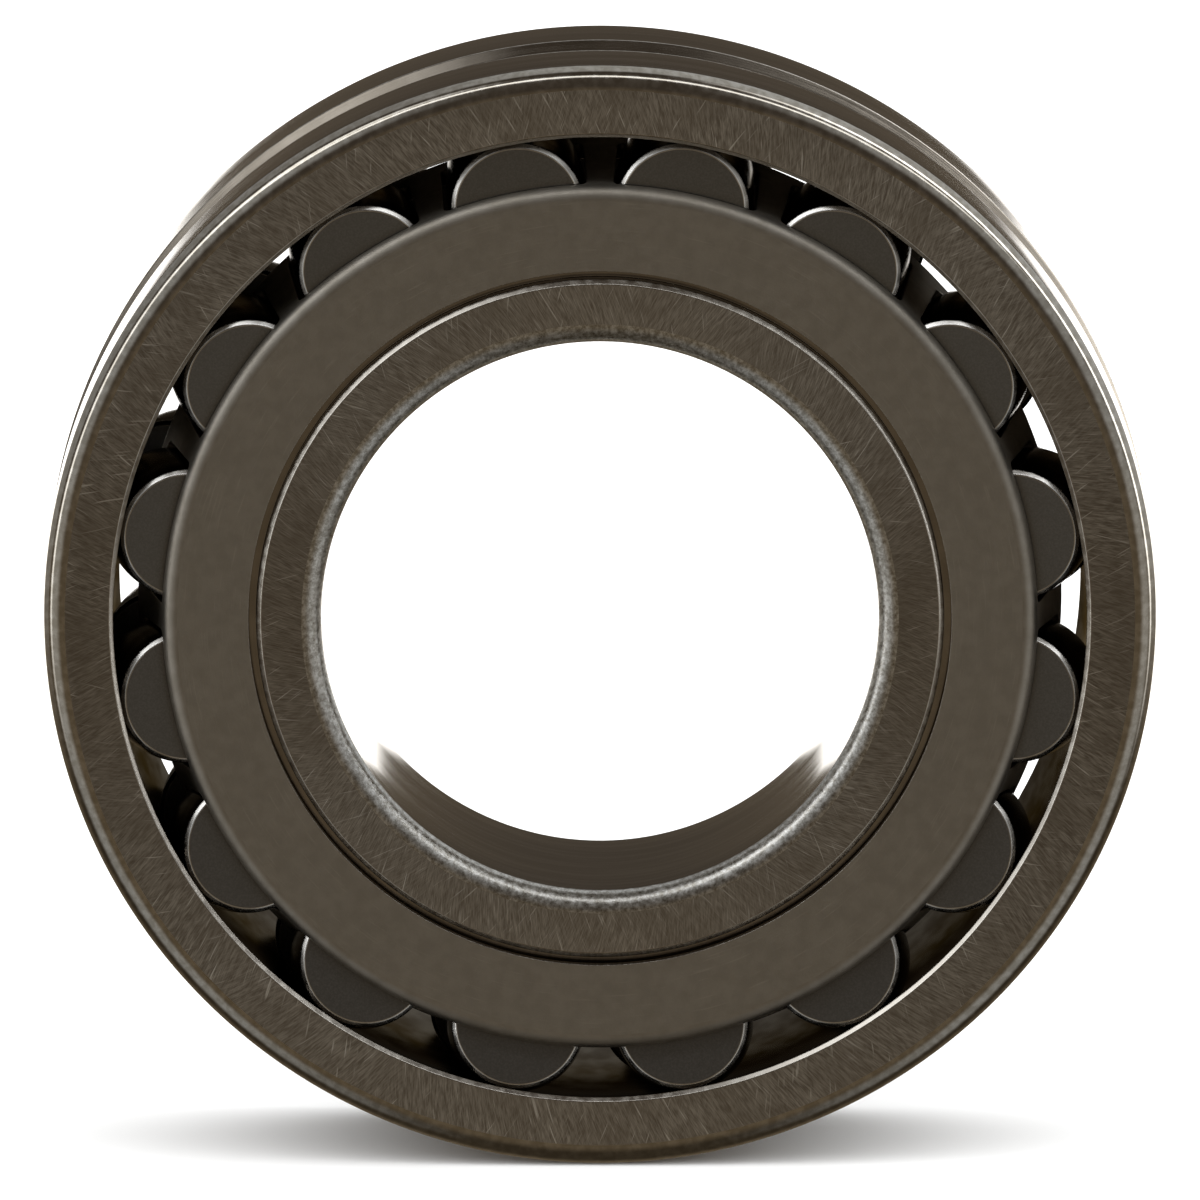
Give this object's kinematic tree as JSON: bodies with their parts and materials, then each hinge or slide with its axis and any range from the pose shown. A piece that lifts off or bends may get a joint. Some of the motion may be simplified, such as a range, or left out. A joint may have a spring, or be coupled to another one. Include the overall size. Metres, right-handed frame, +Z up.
{
  "type": "spherical roller bearing",
  "caption": "Self-aligning spherical roller bearing with a cylindrical bore, pressed steel window cages, a floating guide ring and a lubrication groove with oil holes.",
  "frame": {"origin": "centre of the bearing: on its axis, midway between its side faces", "axes": "+Y along the bearing's axis towards the rear row of rollers, +Z up with the bearing standing on its rim, front row on the -Y side"},
  "size_m": [0.08, 0.023, 0.08],
  "materials": {
    "ring_steel": "ground faces, polished outside diameter and raceways",
    "roller_steel": "fine ground sides, satin ends",
    "cage_steel": "matte phosphated sheet",
    "guide_steel": "turned satin"
  },
  "bodies": {
    "outer_ring": {"outer_ring": "ring_steel"},
    "guide_ring": {"guide_ring": "guide_steel"},
    "inner_ring": {"inner_ring": "ring_steel"},
    "front_cage": {"front_cage": "cage_steel"},
    "rear_cage": {"rear_cage": "cage_steel"},
    "front_roller_01": {"front_roller_01": "roller_steel"},
    "front_roller_02": {"front_roller_02": "roller_steel"},
    "front_roller_03": {"front_roller_03": "roller_steel"},
    "front_roller_04": {"front_roller_04": "roller_steel"},
    "front_roller_05": {"front_roller_05": "roller_steel"},
    "front_roller_06": {"front_roller_06": "roller_steel"},
    "front_roller_07": {"front_roller_07": "roller_steel"},
    "front_roller_08": {"front_roller_08": "roller_steel"},
    "front_roller_09": {"front_roller_09": "roller_steel"},
    "front_roller_10": {"front_roller_10": "roller_steel"},
    "front_roller_11": {"front_roller_11": "roller_steel"},
    "front_roller_12": {"front_roller_12": "roller_steel"},
    "front_roller_13": {"front_roller_13": "roller_steel"},
    "front_roller_14": {"front_roller_14": "roller_steel"},
    "front_roller_15": {"front_roller_15": "roller_steel"},
    "front_roller_16": {"front_roller_16": "roller_steel"},
    "rear_roller_01": {"rear_roller_01": "roller_steel"},
    "rear_roller_02": {"rear_roller_02": "roller_steel"},
    "rear_roller_03": {"rear_roller_03": "roller_steel"},
    "rear_roller_04": {"rear_roller_04": "roller_steel"},
    "rear_roller_05": {"rear_roller_05": "roller_steel"},
    "rear_roller_06": {"rear_roller_06": "roller_steel"},
    "rear_roller_07": {"rear_roller_07": "roller_steel"},
    "rear_roller_08": {"rear_roller_08": "roller_steel"},
    "rear_roller_09": {"rear_roller_09": "roller_steel"},
    "rear_roller_10": {"rear_roller_10": "roller_steel"},
    "rear_roller_11": {"rear_roller_11": "roller_steel"},
    "rear_roller_12": {"rear_roller_12": "roller_steel"},
    "rear_roller_13": {"rear_roller_13": "roller_steel"},
    "rear_roller_14": {"rear_roller_14": "roller_steel"},
    "rear_roller_15": {"rear_roller_15": "roller_steel"},
    "rear_roller_16": {"rear_roller_16": "roller_steel"}
  },
  "joints": [
    {"name": "self_align", "type": "hinge", "parent": "outer_ring", "child": "guide_ring", "pos_m": [0, 0, 0], "axis": [1, 0, 0], "range_deg": [-2, 2]},
    {"name": "inner_spin", "type": "hinge", "parent": "guide_ring", "child": "inner_ring", "pos_m": [0, 0, 0], "axis": [0, 1, 0], "continuous": true},
    {"name": "front_cage_spin", "type": "hinge", "parent": "guide_ring", "child": "front_cage", "pos_m": [0, 0, 0], "axis": [0, 1, 0], "continuous": true},
    {"name": "rear_cage_spin", "type": "hinge", "parent": "guide_ring", "child": "rear_cage", "pos_m": [0, 0, 0], "axis": [0, 1, 0], "continuous": true},
    {"name": "front_roller_01_spin", "type": "hinge", "parent": "front_cage", "child": "front_roller_01", "pos_m": [0.00607, -0.00582, 0.0305], "axis": [0.0359, 0.9829, 0.1804], "continuous": true},
    {"name": "front_roller_02_spin", "type": "hinge", "parent": "front_cage", "child": "front_roller_02", "pos_m": [0.01728, -0.00582, 0.02586], "axis": [0.1022, 0.9829, 0.1529], "continuous": true},
    {"name": "front_roller_03_spin", "type": "hinge", "parent": "front_cage", "child": "front_roller_03", "pos_m": [0.02586, -0.00582, 0.01728], "axis": [0.1529, 0.9829, 0.1022], "continuous": true},
    {"name": "front_roller_04_spin", "type": "hinge", "parent": "front_cage", "child": "front_roller_04", "pos_m": [0.0305, -0.00582, 0.00607], "axis": [0.1804, 0.9829, 0.0359], "continuous": true},
    {"name": "front_roller_05_spin", "type": "hinge", "parent": "front_cage", "child": "front_roller_05", "pos_m": [0.0305, -0.00582, -0.00607], "axis": [0.1804, 0.9829, -0.0359], "continuous": true},
    {"name": "front_roller_06_spin", "type": "hinge", "parent": "front_cage", "child": "front_roller_06", "pos_m": [0.02586, -0.00582, -0.01728], "axis": [0.1529, 0.9829, -0.1022], "continuous": true},
    {"name": "front_roller_07_spin", "type": "hinge", "parent": "front_cage", "child": "front_roller_07", "pos_m": [0.01728, -0.00582, -0.02586], "axis": [0.1022, 0.9829, -0.1529], "continuous": true},
    {"name": "front_roller_08_spin", "type": "hinge", "parent": "front_cage", "child": "front_roller_08", "pos_m": [0.00607, -0.00582, -0.0305], "axis": [0.0359, 0.9829, -0.1804], "continuous": true},
    {"name": "front_roller_09_spin", "type": "hinge", "parent": "front_cage", "child": "front_roller_09", "pos_m": [-0.00607, -0.00582, -0.0305], "axis": [-0.0359, 0.9829, -0.1804], "continuous": true},
    {"name": "front_roller_10_spin", "type": "hinge", "parent": "front_cage", "child": "front_roller_10", "pos_m": [-0.01728, -0.00582, -0.02586], "axis": [-0.1022, 0.9829, -0.1529], "continuous": true},
    {"name": "front_roller_11_spin", "type": "hinge", "parent": "front_cage", "child": "front_roller_11", "pos_m": [-0.02586, -0.00582, -0.01728], "axis": [-0.1529, 0.9829, -0.1022], "continuous": true},
    {"name": "front_roller_12_spin", "type": "hinge", "parent": "front_cage", "child": "front_roller_12", "pos_m": [-0.0305, -0.00582, -0.00607], "axis": [-0.1804, 0.9829, -0.0359], "continuous": true},
    {"name": "front_roller_13_spin", "type": "hinge", "parent": "front_cage", "child": "front_roller_13", "pos_m": [-0.0305, -0.00582, 0.00607], "axis": [-0.1804, 0.9829, 0.0359], "continuous": true},
    {"name": "front_roller_14_spin", "type": "hinge", "parent": "front_cage", "child": "front_roller_14", "pos_m": [-0.02586, -0.00582, 0.01728], "axis": [-0.1529, 0.9829, 0.1022], "continuous": true},
    {"name": "front_roller_15_spin", "type": "hinge", "parent": "front_cage", "child": "front_roller_15", "pos_m": [-0.01728, -0.00582, 0.02586], "axis": [-0.1022, 0.9829, 0.1529], "continuous": true},
    {"name": "front_roller_16_spin", "type": "hinge", "parent": "front_cage", "child": "front_roller_16", "pos_m": [-0.00607, -0.00582, 0.0305], "axis": [-0.0359, 0.9829, 0.1804], "continuous": true},
    {"name": "rear_roller_01_spin", "type": "hinge", "parent": "rear_cage", "child": "rear_roller_01", "pos_m": [0.00739, 0.00582, 0.03021], "axis": [-0.0437, 0.9829, -0.1786], "continuous": true},
    {"name": "rear_roller_02_spin", "type": "hinge", "parent": "rear_cage", "child": "rear_roller_02", "pos_m": [0.01839, 0.00582, 0.02508], "axis": [-0.1087, 0.9829, -0.1483], "continuous": true},
    {"name": "rear_roller_03_spin", "type": "hinge", "parent": "rear_cage", "child": "rear_roller_03", "pos_m": [0.02659, 0.00582, 0.01613], "axis": [-0.1572, 0.9829, -0.0954], "continuous": true},
    {"name": "rear_roller_04_spin", "type": "hinge", "parent": "rear_cage", "child": "rear_roller_04", "pos_m": [0.03074, 0.00582, 0.00473], "axis": [-0.1817, 0.9829, -0.028], "continuous": true},
    {"name": "rear_roller_05_spin", "type": "hinge", "parent": "rear_cage", "child": "rear_roller_05", "pos_m": [0.03021, 0.00582, -0.00739], "axis": [-0.1786, 0.9829, 0.0437], "continuous": true},
    {"name": "rear_roller_06_spin", "type": "hinge", "parent": "rear_cage", "child": "rear_roller_06", "pos_m": [0.02508, 0.00582, -0.01839], "axis": [-0.1483, 0.9829, 0.1087], "continuous": true},
    {"name": "rear_roller_07_spin", "type": "hinge", "parent": "rear_cage", "child": "rear_roller_07", "pos_m": [0.01613, 0.00582, -0.02659], "axis": [-0.0954, 0.9829, 0.1572], "continuous": true},
    {"name": "rear_roller_08_spin", "type": "hinge", "parent": "rear_cage", "child": "rear_roller_08", "pos_m": [0.00473, 0.00582, -0.03074], "axis": [-0.028, 0.9829, 0.1817], "continuous": true},
    {"name": "rear_roller_09_spin", "type": "hinge", "parent": "rear_cage", "child": "rear_roller_09", "pos_m": [-0.00739, 0.00582, -0.03021], "axis": [0.0437, 0.9829, 0.1786], "continuous": true},
    {"name": "rear_roller_10_spin", "type": "hinge", "parent": "rear_cage", "child": "rear_roller_10", "pos_m": [-0.01839, 0.00582, -0.02508], "axis": [0.1087, 0.9829, 0.1483], "continuous": true},
    {"name": "rear_roller_11_spin", "type": "hinge", "parent": "rear_cage", "child": "rear_roller_11", "pos_m": [-0.02659, 0.00582, -0.01613], "axis": [0.1572, 0.9829, 0.0954], "continuous": true},
    {"name": "rear_roller_12_spin", "type": "hinge", "parent": "rear_cage", "child": "rear_roller_12", "pos_m": [-0.03074, 0.00582, -0.00473], "axis": [0.1817, 0.9829, 0.028], "continuous": true},
    {"name": "rear_roller_13_spin", "type": "hinge", "parent": "rear_cage", "child": "rear_roller_13", "pos_m": [-0.03021, 0.00582, 0.00739], "axis": [0.1786, 0.9829, -0.0437], "continuous": true},
    {"name": "rear_roller_14_spin", "type": "hinge", "parent": "rear_cage", "child": "rear_roller_14", "pos_m": [-0.02508, 0.00582, 0.01839], "axis": [0.1483, 0.9829, -0.1087], "continuous": true},
    {"name": "rear_roller_15_spin", "type": "hinge", "parent": "rear_cage", "child": "rear_roller_15", "pos_m": [-0.01613, 0.00582, 0.02659], "axis": [0.0954, 0.9829, -0.1572], "continuous": true},
    {"name": "rear_roller_16_spin", "type": "hinge", "parent": "rear_cage", "child": "rear_roller_16", "pos_m": [-0.00473, 0.00582, 0.03074], "axis": [0.028, 0.9829, -0.1817], "continuous": true}
  ],
  "couplings": [
    {"joint": "front_cage_spin", "follows": "inner_spin", "ratio": 0.42099},
    {"joint": "rear_cage_spin", "follows": "inner_spin", "ratio": 0.42099},
    {"joint": "front_roller_01_spin", "follows": "inner_spin", "ratio": -3.0324},
    {"joint": "front_roller_02_spin", "follows": "inner_spin", "ratio": -3.0324},
    {"joint": "front_roller_03_spin", "follows": "inner_spin", "ratio": -3.0324},
    {"joint": "front_roller_04_spin", "follows": "inner_spin", "ratio": -3.0324},
    {"joint": "front_roller_05_spin", "follows": "inner_spin", "ratio": -3.0324},
    {"joint": "front_roller_06_spin", "follows": "inner_spin", "ratio": -3.0324},
    {"joint": "front_roller_07_spin", "follows": "inner_spin", "ratio": -3.0324},
    {"joint": "front_roller_08_spin", "follows": "inner_spin", "ratio": -3.0324},
    {"joint": "front_roller_09_spin", "follows": "inner_spin", "ratio": -3.0324},
    {"joint": "front_roller_10_spin", "follows": "inner_spin", "ratio": -3.0324},
    {"joint": "front_roller_11_spin", "follows": "inner_spin", "ratio": -3.0324},
    {"joint": "front_roller_12_spin", "follows": "inner_spin", "ratio": -3.0324},
    {"joint": "front_roller_13_spin", "follows": "inner_spin", "ratio": -3.0324},
    {"joint": "front_roller_14_spin", "follows": "inner_spin", "ratio": -3.0324},
    {"joint": "front_roller_15_spin", "follows": "inner_spin", "ratio": -3.0324},
    {"joint": "front_roller_16_spin", "follows": "inner_spin", "ratio": -3.0324},
    {"joint": "rear_roller_01_spin", "follows": "inner_spin", "ratio": -3.0324},
    {"joint": "rear_roller_02_spin", "follows": "inner_spin", "ratio": -3.0324},
    {"joint": "rear_roller_03_spin", "follows": "inner_spin", "ratio": -3.0324},
    {"joint": "rear_roller_04_spin", "follows": "inner_spin", "ratio": -3.0324},
    {"joint": "rear_roller_05_spin", "follows": "inner_spin", "ratio": -3.0324},
    {"joint": "rear_roller_06_spin", "follows": "inner_spin", "ratio": -3.0324},
    {"joint": "rear_roller_07_spin", "follows": "inner_spin", "ratio": -3.0324},
    {"joint": "rear_roller_08_spin", "follows": "inner_spin", "ratio": -3.0324},
    {"joint": "rear_roller_09_spin", "follows": "inner_spin", "ratio": -3.0324},
    {"joint": "rear_roller_10_spin", "follows": "inner_spin", "ratio": -3.0324},
    {"joint": "rear_roller_11_spin", "follows": "inner_spin", "ratio": -3.0324},
    {"joint": "rear_roller_12_spin", "follows": "inner_spin", "ratio": -3.0324},
    {"joint": "rear_roller_13_spin", "follows": "inner_spin", "ratio": -3.0324},
    {"joint": "rear_roller_14_spin", "follows": "inner_spin", "ratio": -3.0324},
    {"joint": "rear_roller_15_spin", "follows": "inner_spin", "ratio": -3.0324},
    {"joint": "rear_roller_16_spin", "follows": "inner_spin", "ratio": -3.0324}
  ]
}
